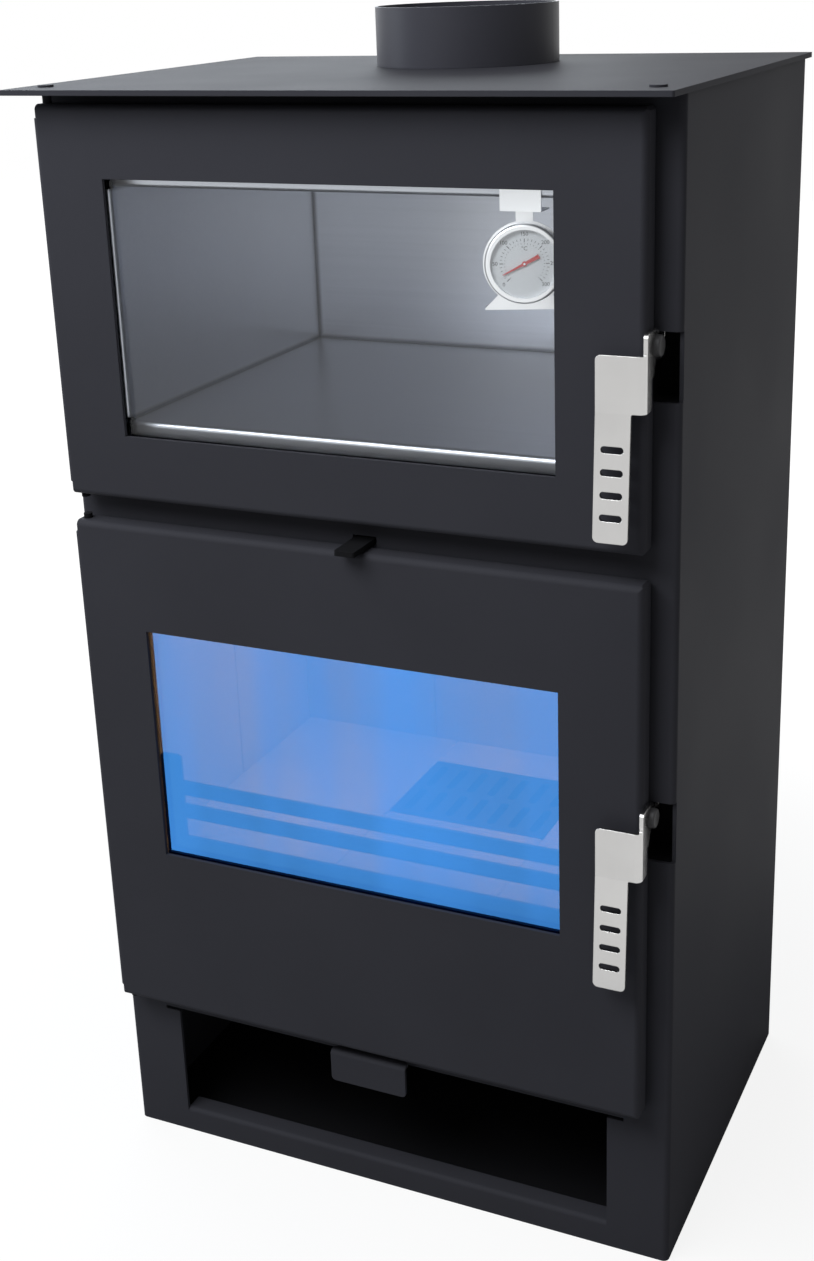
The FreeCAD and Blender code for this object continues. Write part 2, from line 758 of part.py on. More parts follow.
# Handle: a grip plate bent round the door's right edge, with an ear on the bolt and a latch tongue
def handle(pivot_z):
    side_in = door_right + washer_sheet
    side_out = side_in + handle_sheet
    plate_y = door_front - handle_stand
    left = side_out - handle_width
    grip_right = left + grip_width
    top = pivot_z - plate_drop
    step = pivot_z - bend_drop
    low = pivot_z - handle_drop
    sheet = plate_yz([(plate_y, top, 0), (plate_y, step, 0), (plate_y - grip_lean, low, 0),
                      (plate_y - grip_lean + handle_sheet, low, 0), (plate_y + handle_sheet, step, 0),
                      (plate_y + handle_sheet, top, 0)], left, side_out - handle_bend)
    mask = plate_xz([(left, low, grip_corner), (grip_right, low, grip_corner),
                     (grip_right, step, edge_round), (side_out, step, 0), (side_out, top, 0),
                     (left, top, grip_corner)], plate_y - grip_lean - cut_overrun, plate_y + cut_overrun)
    grip = sheet.common(mask)
    slots = []
    for i in range(grip_slot_count):
        z = low + grip_slot_rise + i * grip_slot_pitch
        x = (left + grip_right) / 2
        slots.append(plate_xz(rectangle(x - grip_slot_length / 2, x + grip_slot_length / 2,
                                        z - grip_slot_width / 2, z + grip_slot_width / 2,
                                        grip_slot_width / 2 - running_gap),
                              plate_y - grip_lean - cut_overrun, plate_y + cut_overrun))
    bent = plate_xy([(side_out - handle_bend, plate_y, 0), (side_out, plate_y, handle_bend),
                     (side_out, pivot_y + tongue_reach, 0), (side_in, pivot_y + tongue_reach, 0),
                     (side_in, plate_y + handle_sheet, handle_bend - handle_sheet),
                     (side_out - handle_bend, plate_y + handle_sheet, 0)], step, pivot_z + ear_radius)
    nose_top = pivot_z + slot_rise - nose_gap
    throat = nose_top - nose_height
    ear_back = pivot_y + ear_radius
    tongue_end = pivot_y + tongue_reach
    ear_front = plate_y + ear_setback
    side = plate_yz([(plate_y, step, 0), (plate_y, top, 0), (ear_front, top, 0),
                     (ear_front, pivot_z + ear_radius, grip_corner),
                     (ear_back, pivot_z + ear_radius, ear_radius - edge_round),
                     (ear_back, throat, edge_round / 2), (tongue_end - nose_length, throat, edge_round / 2),
                     (tongue_end - nose_length, nose_top, 0), (tongue_end, nose_top, edge_round),
                     (tongue_end, pivot_z - tongue_drop, grip_corner), (pivot_y, pivot_z - tongue_drop, 0),
                     (pivot_y - grip_corner, pivot_z - wing_drop, 0),
                     (plate_y + strip_depth, pivot_z - wing_drop, edge_round),
                     (plate_y + strip_depth, step, edge_round)],
                    side_out - handle_bend - cut_overrun, side_out + cut_overrun)
    hole = rod(X, side_in - cut_overrun, pivot_y, pivot_z, handle_sheet + 2 * cut_overrun,
               bolt_diameter / 2 + running_gap)
    return join([grip.cut(slots), bent.common(side)]).cut(hole)


def handle_bolt(pivot_z):
    radius = bolt_diameter / 2
    inside = door_right - door_sheet
    side_out = door_right + washer_sheet + handle_sheet
    head_x = side_out + 2 * running_gap
    shank = rod(X, inside - nut_height, pivot_y, pivot_z, head_x - inside + nut_height, radius)
    head = rod(X, head_x, pivot_y, pivot_z, bolt_head, bolt_head_diameter / 2)
    head = round_edges(head, edge_round, lambda edge: edge.Vertexes[0].X > head_x + running_gap
                       and len(edge.Vertexes) == 1)
    corner = nut_flats / math.sqrt(3)
    hexagon = []
    for i in range(6):
        turn = math.radians(60 * i + 30)
        hexagon.append((pivot_y + corner * math.cos(turn), pivot_z + corner * math.sin(turn), 0))
    core = rod(X, inside - nut_height - cut_overrun, pivot_y, pivot_z, nut_height + 2 * cut_overrun,
               radius + running_gap)
    nut = plate_yz(hexagon, inside - nut_height, inside).cut(core)
    washer = rod(X, door_right, pivot_y, pivot_z, washer_sheet - running_gap, washer_diameter / 2)
    washer = washer.cut(rod(X, door_right - cut_overrun, pivot_y, pivot_z, 2 * cut_overrun,
                            radius + running_gap))
    return Part.makeCompound([join([shank, head]), nut, washer])


for name, low, high, window, opening, pivot_z in (
        ("oven", oven_door_bottom, oven_door_top, oven_window, flange_edge, oven_pivot_z),
        ("fire", fire_door_bottom, fire_door_top, fire_window, fire_opening, fire_pivot_z)):
    nodes[name + "_door_pan"] = door_pan(low, high, window, pivot_z)
    nodes[name + "_seal_channel"], nodes[name + "_door_seal"] = seal_parts(opening)
    glass, tape, clips, screws = glass_parts(window)
    nodes[name + "_door_glass"] = glass
    nodes[name + "_glass_tape"] = tape
    nodes[name + "_glass_clips"] = clips
    nodes[name + "_clip_screws"] = screws
    nodes[name + "_handle"] = handle(pivot_z)
    nodes[name + "_handle_bolt"] = handle_bolt(pivot_z)


# Niche ceiling with the primary air inlets, and the slide under it with its bare pull tab
def niche_ceiling():
    plate = box(-inner_half, inner_half, inner_front, inner_back, ceiling_bottom, ceiling_top)
    inlets = []
    for i in range(inlet_count):
        y = inner_front + inlet_setback + (i - (inlet_count - 1) / 2) * inlet_pitch
        inlets.append(plate_xy(rectangle(slide_x - inlet_length / 2, slide_x + inlet_length / 2,
                                         y - inlet_width / 2, y + inlet_width / 2,
                                         inlet_width / 2 - running_gap),
                               ceiling_bottom - cut_overrun, ceiling_top + cut_overrun))
    return trimmed_to_casing(plate.cut(inlets))


def trimmed_to_casing(shape):
    bend = corner_bend - casing_sheet
    room = plate_xy([(-inner_half, inner_back, 0), (-inner_half, inner_front, bend),
                     (inner_half, inner_front, bend), (inner_half, inner_back, 0)], 0, body_height)
    return shape.common(room)


def primary_air_slide():
    tab_front = front_y - tab_stand
    plate = plate_yz([(tab_front, slide_top - tab_height, 0), (tab_front, slide_top, slide_bend),
                      (inner_front + slide_length, slide_top, 0),
                      (inner_front + slide_length, slide_top - slide_sheet, 0),
                      (tab_front + slide_sheet, slide_top - slide_sheet, slide_bend - slide_sheet),
                      (tab_front + slide_sheet, slide_top - tab_height, 0)],
                     slide_x - tab_width / 2, slide_x + tab_width / 2)
    outline = plate_xz(rectangle(slide_x - tab_width / 2, slide_x + tab_width / 2, slide_top - tab_height,
                                 slide_top + tab_corner + slide_bend, tab_corner),
                       tab_front - cut_overrun, inner_front + slide_length + cut_overrun)
    sides = []
    for x, out in ((slide_x - slide_width / 2, -1), (slide_x + slide_width / 2, 1)):
        far = x + out * (tab_width - slide_width + cut_overrun)
        sides.append(box(min(x, far), max(x, far), tab_front + slide_sheet + slide_bend,
                         inner_front + slide_length + cut_overrun, slide_top - tab_height,
                         slide_top + cut_overrun))
    return plate.common(outline).cut(sides)


def slide_rail(side):
    web = slide_x + side * (slide_width / 2 + sliding_gap)
    far = web + side * rail_sheet
    tip = web - side * rail_lip
    shelf = slide_top - slide_sheet - sliding_gap
    return plate_xz([(web, ceiling_bottom, 0), (far, ceiling_bottom, 0), (far, shelf - rail_sheet, 0),
                     (tip, shelf - rail_sheet, 0), (tip, shelf, 0), (web, shelf, 0)],
                    inner_front, inner_front + rail_length)


nodes["niche_ceiling"] = niche_ceiling()
nodes["primary_air_slide"] = primary_air_slide()
nodes["primary_slide_rails"] = Part.makeCompound([slide_rail(-1), slide_rail(1)])


# Smoke shelf under the oven: gases rise through its side ports round the oven, or through the middle
# port when the damper is pulled out by its lever
damper_front = inner_front + damper_setback
damper_back = damper_front + damper_depth
shelf_bottom = lever_bottom - shelf_sheet


def smoke_shelf():
    shelf = box(-inner_half, inner_half, inner_front, inner_back, shelf_bottom, lever_bottom)
    z0 = shelf_bottom - cut_overrun
    z1 = lever_bottom + cut_overrun
    port_back = damper_back - port_lap
    ports = [plate_xy(rectangle(lever_x - port_width / 2, lever_x + port_width / 2,
                                port_back - port_depth, port_back, port_corner), z0, z1)]
    for side in (-1, 1):
        edge = side * (inner_half - side_port_gap)
        far = edge - side * side_port_width
        ports.append(plate_xy(rectangle(min(edge, far), max(edge, far), -side_port_length / 2,
                                        side_port_length / 2, port_corner), z0, z1))
    return trimmed_to_casing(shelf.cut(ports))


def smoke_damper():
    stem = plate_xy(rectangle(lever_x - lever_width / 2, lever_x + lever_width / 2,
                              front_y - lever_stand, damper_back, lever_corner), lever_bottom, lever_top)
    plate = plate_xy(rectangle(lever_x - damper_width / 2, lever_x + damper_width / 2,
                               damper_front, damper_back, port_corner), lever_bottom, lever_top)
    return join([stem, plate])


def damper_guide(side):
    web = lever_x + side * (damper_width / 2 + sliding_gap)
    far = web + side * guide_sheet
    tip = web - side * guide_lip
    roof = lever_top + sliding_gap
    return plate_xz([(web, lever_bottom, 0), (far, lever_bottom, 0), (far, roof + guide_sheet, 0),
                     (tip, roof + guide_sheet, 0), (tip, roof, 0), (web, roof, 0)],
                    damper_front - damper_travel, damper_back)


nodes["smoke_shelf"] = smoke_shelf()
nodes["smoke_damper"] = smoke_damper()
nodes["damper_guides"] = Part.makeCompound([damper_guide(-1), damper_guide(1)])


# Firebox: floor plate, cast grate, firebricks, baffle and log guard
grate_front = guard_back + grate_front_gap
grate_back = back_brick_face - grate_back_gap
grate_left = grate_x - grate_width / 2
grate_right = grate_x + grate_width / 2
floor_half = inner_half - brick


def firebox_floor():
    plate = box(-inner_half, inner_half, inner_front, inner_back, plate_bottom, plate_top)
    hole = box(grate_left + grate_seat, grate_right - grate_seat, grate_front + grate_seat,
               grate_back - grate_seat, plate_bottom - cut_overrun, plate_top + cut_overrun)
    return trimmed_to_casing(plate.cut(hole))


def grate():
    body = box(grate_left + running_gap, grate_right - running_gap, grate_front + running_gap,
               grate_back - running_gap, plate_top, grate_top)
    middle = (grate_front + grate_back) / 2
    pitch = (grate_width - 2 * grate_rim - grate_slot_width) / (grate_slot_count - 1)
    slots = []
    for i in range(grate_slot_count):
        x = grate_left + grate_rim + grate_slot_width / 2 + i * pitch
        for y0, y1 in ((grate_front + grate_rim, middle - grate_rim / 2),
                       (middle + grate_rim / 2, grate_back - grate_rim)):
            slots.append(plate_xy(rectangle(x - grate_slot_width / 2, x + grate_slot_width / 2, y0, y1,
                                            grate_slot_width / 2 - running_gap),
                                  plate_top - cut_overrun, grate_top + cut_overrun))
    return body.cut(slots)


def firebrick(x0, x1, y0, y1, z0, z1):
    block = box(x0, x1, y0, y1, z0, z1)
    return block.makeChamfer(brick_chamfer, block.Edges)


def floor_bricks():
    blocks = [(-floor_half, grate_left, guard_back, back_brick_face),
              (grate_right, floor_half, guard_back, back_brick_face),
              (grate_left, grate_right, guard_back, grate_front),
              (grate_left, grate_right, grate_back, back_brick_face)]
    return Part.makeCompound([firebrick(x0, x1, y0, y1, plate_top, grate_top) for x0, x1, y0, y1 in blocks])


def side_bricks(side):
    step = (back_brick_face - side_brick_front) / side_brick_count
    x0 = min(side * floor_half, side * inner_half)
    starts = [side_brick_front + i * step for i in range(side_brick_count)]
    return Part.makeCompound([firebrick(x0, x0 + brick, y, y + step, plate_top, brick_top) for y in starts])


def back_bricks():
    step = 2 * inner_half / back_brick_count
    starts = [-inner_half + i * step for i in range(back_brick_count)]
    return Part.makeCompound([firebrick(x, x + step, back_brick_face, inner_back, plate_top, brick_top)
                              for x in starts])


def log_guard():
    half = inner_half - guard_side_gap
    low_bar = plate_top + guard_lip_height + guard_low_gap
    high_bar = low_bar + guard_bar + guard_high_gap
    top = high_bar + guard_bar
    post = half - guard_post_width
    sheet = plate_xz([(-half, plate_top, 0), (half, plate_top, 0),
                      (half, top + guard_post_rise, guard_corner),
                      (post, top + guard_post_rise, guard_corner), (post, top, 0), (-post, top, 0),
                      (-post, top + guard_post_rise, guard_corner),
                      (-half, top + guard_post_rise, guard_corner)], guard_front, guard_back)
    y0 = guard_front - cut_overrun
    y1 = guard_back + cut_overrun
    return sheet.cut([box(-post, post, y0, y1, low_bar - guard_low_gap, low_bar),
                      box(-post, post, y0, y1, high_bar - guard_high_gap, high_bar)])


nodes["firebox_floor"] = firebox_floor()
nodes["fire_grate"] = grate()
nodes["floor_bricks"] = floor_bricks()
nodes["left_bricks"] = side_bricks(-1)
nodes["right_bricks"] = side_bricks(1)
nodes["back_bricks"] = back_bricks()
nodes["baffle_plate"] = box(-floor_half - baffle_seat, floor_half + baffle_seat,
                            inner_front + baffle_front_gap, inner_back, brick_top, brick_top + baffle_sheet)
nodes["log_guard"] = log_guard()


# Ash pan on two bent runners, behind the lower part of the fire door
runner_top = fire_opening[2] + runner_sill_gap
pan_front = inner_front + pan_front_gap
pan_back = inner_back - pan_back_gap
pan_top = plate_bottom - pan_headroom


def ash_pan():
    half = pan_width / 2
    outer = box(-half, half, pan_front, pan_back, runner_top, pan_top)
    inner = box(-half + pan_sheet, half - pan_sheet, pan_front + pan_sheet, pan_back - pan_sheet,
                runner_top + pan_sheet, pan_top + cut_overrun)
    lip = box(-half, half, pan_front - pan_lip, pan_front, pan_top - pan_sheet, pan_top)
    return join([outer.cut(inner), lip])


def runner(x):
    half = runner_width / 2
    outer = box(x - half, x + half, pan_front, pan_back, ceiling_top, runner_top)
    inner = box(x - half + runner_sheet, x + half - runner_sheet, pan_front - cut_overrun,
                pan_back + cut_overrun, ceiling_top - cut_overrun, runner_top - runner_sheet)
    return outer.cut(inner)


nodes["ash_pan"] = ash_pan()
nodes["ash_pan_runners"] = Part.makeCompound([runner(-runner_pitch / 2), runner(runner_pitch / 2)])

os.makedirs("parts", exist_ok=True)
for name, shape in nodes.items():
    shape.exportStep("parts/" + name + ".step")
    print(name, len(shape.Solids), "solids", "valid" if shape.isValid() else "NOT VALID",
          round(shape.Volume), "mm3")
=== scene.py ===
import bpy, bmesh, math
from mathutils import Matrix, Vector


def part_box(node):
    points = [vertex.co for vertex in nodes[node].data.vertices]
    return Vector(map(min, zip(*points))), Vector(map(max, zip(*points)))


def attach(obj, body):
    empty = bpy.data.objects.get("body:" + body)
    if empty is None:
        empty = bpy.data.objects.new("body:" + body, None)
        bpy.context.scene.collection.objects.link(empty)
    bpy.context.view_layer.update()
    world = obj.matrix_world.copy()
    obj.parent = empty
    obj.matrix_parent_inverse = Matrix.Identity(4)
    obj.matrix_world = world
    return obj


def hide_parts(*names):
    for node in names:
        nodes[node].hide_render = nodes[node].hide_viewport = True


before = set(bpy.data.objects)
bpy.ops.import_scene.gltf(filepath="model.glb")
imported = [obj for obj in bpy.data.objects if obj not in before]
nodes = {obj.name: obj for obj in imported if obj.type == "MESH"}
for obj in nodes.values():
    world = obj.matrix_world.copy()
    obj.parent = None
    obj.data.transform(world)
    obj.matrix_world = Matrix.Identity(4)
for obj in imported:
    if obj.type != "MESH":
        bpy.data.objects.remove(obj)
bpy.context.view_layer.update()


# Casing, top plate, door pans, air tab and other sheet steel: laser-cut sheet bent on a brake and sprayed
# with heat-proof paint. The paint is matt charcoal with a very fine grain, and it rounds off the cut edges.
class Shade:
    """A socket of one material, with the usual sums written as Python expressions."""

    def __init__(self, tree, socket):
        self.tree = tree
        self.socket = socket

    def node(self, kind, settings=None, **inputs):
        made = self.tree.nodes.new(kind)
        for key, value in (settings or {}).items():
            setattr(made, key, value)
        for key, value in inputs.items():
            numbered = key[0] == "n" and key[1:].isdigit()
            target = made.inputs[int(key[1:]) if numbered else key]
            if isinstance(value, Shade):
                self.tree.links.new(value.socket, target)
            else:
                target.default_value = value
        return Shade(self.tree, made.outputs[0])

    def out(self, name):
        return Shade(self.tree, self.socket.node.outputs[name])

    def math(self, operation, other=0.0, swap=False):
        pair = (other, self) if swap else (self, other)
        return self.node("ShaderNodeMath", {"operation": operation}, n0=pair[0], n1=pair[1])

    def __add__(self, other):
        return self.math("ADD", other)

    def __sub__(self, other):
        return self.math("SUBTRACT", other)

    def __mul__(self, other):
        return self.math("MULTIPLY", other)

    def __rsub__(self, other):
        return self.math("SUBTRACT", other, True)

    def blend(self, low, high):
        """low where this value is 0 and high where it is 1, for colours."""
        made = self.node("ShaderNodeMix", {"data_type": "RGBA"}, n0=self)
        mix = made.socket.node
        for target, value in ((mix.inputs[6], low), (mix.inputs[7], high)):
            if isinstance(value, Shade):
                self.tree.links.new(value.socket, target)
            else:
                target.default_value = (*value, 1.0)
        return Shade(self.tree, mix.outputs[2])


def finish_named(name):
    """A new material with its Principled shader and its Object coordinates."""
    material = bpy.data.materials.new(name)
    material.use_nodes = True
    tree = material.node_tree
    surface = tree.nodes["Principled BSDF"]
    coords = tree.nodes.new("ShaderNodeTexCoord")
    return material, surface, Shade(tree, coords.outputs["Object"])


def feed(surface, **values):
    """Links or sets the shader's inputs, with _ for each space in a name."""
    for key, value in values.items():
        target = surface.inputs[key.replace("_", " ")]
        if isinstance(value, Shade):
            value.tree.links.new(value.socket, target)
        else:
            target.default_value = value


def wear(material, *names):
    for name in names:
        mesh = nodes[name].data
        mesh.materials.clear()
        mesh.materials.append(material)


def stove_paint(name, colour, gloss, shine):
    material, surface, place = finish_named(name)
    speckle = place.node("ShaderNodeTexNoise", Vector=place, Scale=1400.0, Detail=2.0)
    cloud = place.node("ShaderNodeTexNoise", Vector=place, Scale=7.0, Detail=4.0)
    lighter = tuple(c * 1.22 for c in colour)
    darker = tuple(c * 0.86 for c in colour)
    tone = (cloud * 0.75 + speckle * 0.25).blend(darker, lighter)
    soft_edge = place.node("ShaderNodeBevel", {"samples": 4}, Radius=0.0007)
    relief = place.node("ShaderNodeBump", Strength=0.35, Distance=0.0002, Height=speckle, Normal=soft_edge)
    feed(surface, Base_Color=tone, Roughness=cloud * 0.14 + (gloss - 0.07), Normal=relief,
         Specular_IOR_Level=shine)
    return material


paint = stove_paint("stove_paint", (0.0285, 0.0287, 0.034), 0.58, 0.03)
wear(paint, "outer_casing", "back_panel", "top_plate", "top_plate_screw", "oven_top_pin", "oven_door_pan",
     "fire_door_pan", "oven_seal_channel", "fire_seal_channel", "oven_upper_lug", "oven_lower_lug",
     "fire_upper_lug", "fire_lower_lug", "primary_air_slide")

# Flue collar: rolled and welded tube, sprayed with the same paint, which lies smoother on the round
# and so has a soft satin sheen.
wear(stove_paint("flue_paint", (0.0285, 0.0287, 0.036), 0.42, 0.14), "flue_collar")

# Niche lining, latch pockets, lever and hinge pins: steel, in a near-black copy of the paint without its
# sheen.
# # Its darkness is painted shade, for parts that sit in recesses and between the doors.
painted_shade_coat = stove_paint("painted_shade_coat", (0.0075, 0.0075, 0.0084), 0.7, 0.02)
wear(painted_shade_coat, "base_plate", "niche_ceiling", "oven_latch_pocket", "fire_latch_pocket",
     "smoke_damper", "oven_lower_pin", "fire_upper_pin", "fire_lower_pin")


# Inner steelwork, bolts and screws: bare or blackened steel, a little glossier than the paint
# and mottled by handling and heat.
def bare_steel():
    material, surface, place = finish_named("blackened_steel")
    mottle = place.node("ShaderNodeTexNoise", Vector=place, Scale=60.0, Detail=5.0)
    fine = place.node("ShaderNodeTexNoise", Vector=place, Scale=900.0, Detail=2.0)
    relief = place.node("ShaderNodeBump", Strength=0.2, Distance=0.0002, Height=fine)
    feed(surface, Base_Color=mottle.blend((0.018, 0.018, 0.02), (0.046, 0.045, 0.046)), Metallic=0.3,
         Roughness=mottle * 0.25 + 0.34, Normal=relief, Specular_IOR_Level=0.25)
    return material


blackened = bare_steel()
wear(blackened, "oven_bracket", "primary_slide_rails", "smoke_shelf", "damper_guides", "firebox_floor",
     "baffle_plate", "log_guard", "ash_pan", "ash_pan_runners", "oven_glass_clips", "fire_glass_clips",
     "oven_clip_screws", "fire_clip_screws", "oven_handle_bolt", "fire_handle_bolt")


# Oven liner: thin stainless sheet, brushed along the oven's width, so that its reflections smear
# # and its front bends catch bright lines. Along the folds inside, a thin dark line of painted shade is laid
# into the colour.
def brushed_stainless():
    material, surface, place = finish_named("brushed_stainless")
    along = place.node("ShaderNodeMapping", Vector=place, Scale=(3.0, 420.0, 420.0))
    brush = place.node("ShaderNodeTexNoise", Vector=along, Scale=1.0, Detail=3.0)
    haze = place.node("ShaderNodeTexNoise", Vector=place, Scale=9.0, Detail=3.0)
    relief = place.node("ShaderNodeBump", Strength=0.04, Distance=0.0002, Height=brush)
    sheet = (brush * 0.5 + haze * 0.5).blend((0.39, 0.41, 0.455), (0.56, 0.58, 0.63))
    low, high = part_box("oven_liner")
    across = place.node("ShaderNodeSeparateXYZ", Vector=place)
    middle = (low + high) / 2
    flange, wall = 0.012, 0.0015
    crease, fade = 0.0005, 0.005
    to_side = (high.x - middle.x - flange) - (across - middle.x).math("ABSOLUTE")
    to_level = (high.z - middle.z - flange) - (across.out("Z") - middle.z).math("ABSOLUTE")
    to_back = high.y - wall - across.out("Y")
    lesser = to_side.math("MINIMUM", to_back)
    greater = to_side.math("MAXIMUM", to_back)
    to_fold_shade = lesser.math("MAXIMUM", greater.math("MINIMUM", to_level))
    smooth = {"interpolation_type": "SMOOTHSTEP"}
    # Painted shade: the sheet's colour darkens to a thin line along each inside fold.
    painted_fold_shade = place.node("ShaderNodeMapRange", smooth, Value=to_fold_shade, n1=crease, n2=fade)
    tone = painted_fold_shade.blend((0.17, 0.18, 0.205), sheet)
    feed(surface, Base_Color=tone, Metallic=1.0, Roughness=haze * 0.1 + brush * 0.04 + 0.25, Normal=relief)
    return material


wear(brushed_stainless(), "oven_liner")


# Handles: the lever on each door that works its latch. Steel sheet, cut and bent, then nickel-plated bright,
# with faint polishing lines. One bolt holds each to its door.
def nickel_plate():
    material, surface, place = finish_named("nickel_plate")
    along = place.node("ShaderNodeMapping", Vector=place, Scale=(700.0, 700.0, 18.0))
    lines = place.node("ShaderNodeTexNoise", Vector=along, Scale=1.0, Detail=2.0)
    smear = place.node("ShaderNodeTexNoise", Vector=place, Scale=35.0, Detail=3.0)
    soft_edge = place.node("ShaderNodeBevel", {"samples": 4}, Radius=0.0006)
    relief = place.node("ShaderNodeBump", Strength=0.04, Distance=0.0001, Height=lines, Normal=soft_edge)
    feed(surface, Base_Color=smear.blend((0.476, 0.472, 0.466), (0.562, 0.557, 0.55)), Metallic=1.0,
         Roughness=smear * 0.1 + lines * 0.06 + 0.14, Normal=relief)
    return material


wear(nickel_plate(), "oven_handle", "fire_handle")


# Thermometer: hangs in the oven's mouth by its clip. The clip, bracket and case are bright pressed steel,
# round a white printed dial with a red enamelled needle, under a flat lens.
def bright_sheet():
    material, surface, place = finish_named("bright_sheet")
    haze = place.node("ShaderNodeTexNoise", Vector=place, Scale=120.0, Detail=3.0)
    feed(surface, Base_Color=haze.blend((0.8, 0.81, 0.83), (0.86, 0.87, 0.89)), Metallic=1.0,
         Roughness=haze * 0.08 + 0.3)
    return material


def dial_print():
    material, surface, place = finish_named("dial_print")
    paper = place.node("ShaderNodeTexNoise", Vector=place, Scale=500.0, Detail=3.0)
    feed(surface, Base_Color=paper.blend((0.86, 0.87, 0.89), (0.92, 0.93, 0.95)), Roughness=0.4)
    return material


def enamel(name, low, high):
    material, surface, place = finish_named(name)
    streak = place.node("ShaderNodeTexNoise", Vector=place, Scale=300.0, Detail=2.0)
    feed(surface, Base_Color=streak.blend(low, high), Roughness=0.35)
    return material


wear(bright_sheet(), "thermometer_clip", "thermometer_bracket", "thermometer_case")
wear(dial_print(), "thermometer_dial")
wear(enamel("red_enamel", (0.55, 0.02, 0.02), (0.7, 0.05, 0.04)), "thermometer_needle")


# Glass: clear in the oven door and on the dial. The fire door's pane has a heat-reflecting coating, which
# mirrors the
# # room in blue and lets the firebox's warm light through. Its soft upright bands of stronger mirroring are
# painted reflection.
def pane(name, through, mirror, share, painted_band_depth):
    material, surface, place = finish_named(name)
    tree = place.tree
    tree.nodes.remove(surface)
    upright = place.node("ShaderNodeMapping", Vector=place, Scale=(14.0, 14.0, 1.5))
    painted_reflection_bands = place.node("ShaderNodeTexNoise", Vector=upright, Scale=1.0, Detail=2.0)
    smear = place.node("ShaderNodeTexNoise", Vector=place, Scale=6.0, Detail=3.0)
    clear = place.node("ShaderNodeBsdfTransparent", Color=(*through, 1.0))
    shine = place.node("ShaderNodeBsdfGlossy", Color=(*mirror, 1.0), Roughness=smear * 0.08)
    rim = place.node("ShaderNodeLayerWeight", Blend=0.12)
    # Painted reflection: upright noise bands raise and lower how much of the pane mirrors.
    part = (painted_reflection_bands - 0.5) * painted_band_depth + share
    mixed = place.node("ShaderNodeMixShader", n0=rim * (1.0 - share) + part, n1=clear, n2=shine)
    tree.links.new(mixed.socket, tree.nodes["Material Output"].inputs["Surface"])
    return material


clear_glass = pane("clear_glass", (0.985, 0.99, 0.99), (0.95, 0.96, 1.0), share=0.02, painted_band_depth=0.0)
coated_glass = pane("coated_glass", (0.95, 0.74, 0.5), (0.073, 0.35, 0.97), share=0.56, painted_band_depth=0.55)
wear(clear_glass, "oven_door_glass", "thermometer_lens")
wear(coated_glass, "fire_door_glass")


# Firebox lining: bricks pressed from mineral grains, pale buff with darker flecks. They stand loose round
# the fire, with a sand-cast iron grate between those of the floor.
def mineral_brick():
    material, surface, place = finish_named("mineral_brick")
    cloud = place.node("ShaderNodeTexNoise", Vector=place, Scale=12.0, Detail=5.0)
    fleck = place.node("ShaderNodeTexVoronoi", Vector=place, Scale=420.0)
    grit = place.node("ShaderNodeTexNoise", Vector=place, Scale=300.0, Detail=4.0)
    relief = place.node("ShaderNodeBump", Strength=0.5, Distance=0.0008, Height=grit + fleck * 0.4)
    tone = (cloud * 0.7 + grit * 0.3).blend((0.46, 0.41, 0.33), (0.74, 0.69, 0.6))
    feed(surface, Base_Color=tone, Roughness=grit * 0.1 + 0.85, Normal=relief)
    return material


def cast_iron():
    material, surface, place = finish_named("cast_iron")
    sand = place.node("ShaderNodeTexNoise", Vector=place, Scale=350.0, Detail=4.0)
    relief = place.node("ShaderNodeBump", Strength=0.6, Distance=0.0006, Height=sand)
    feed(surface, Base_Color=sand.blend((0.035, 0.035, 0.036), (0.075, 0.073, 0.07)), Metallic=0.4,
         Roughness=sand * 0.2 + 0.55, Normal=relief)
    return material


wear(mineral_brick(), "floor_bricks", "left_bricks", "right_bricks", "back_bricks")
wear(cast_iron(), "fire_grate")


# Door seals: a ring of knitted glass-fibre rope pressed into each door's channel, and a thin flat tape
# of the same yarn under each pane's edge.
def knitted_rope():
    material, surface, place = finish_named("knitted_rope")
    slant = math.radians(45.0)
    one = place.node("ShaderNodeMapping", Vector=place, Rotation=(0.0, slant, 0.0))
    two = place.node("ShaderNodeMapping", Vector=place, Rotation=(0.0, -slant, 0.0))
    weft = place.node("ShaderNodeTexWave", Vector=one, Scale=110.0, Distortion=0.6)
    warp = place.node("ShaderNodeTexWave", Vector=two, Scale=110.0, Distortion=0.6)
    knit = weft.math("MAXIMUM", warp)
    relief = place.node("ShaderNodeBump", Strength=0.9, Distance=0.0008, Height=knit)
    tone = knit.blend((0.012, 0.012, 0.012), (0.06, 0.06, 0.062))
    feed(surface, Base_Color=tone, Roughness=0.9, Normal=relief)
    return material


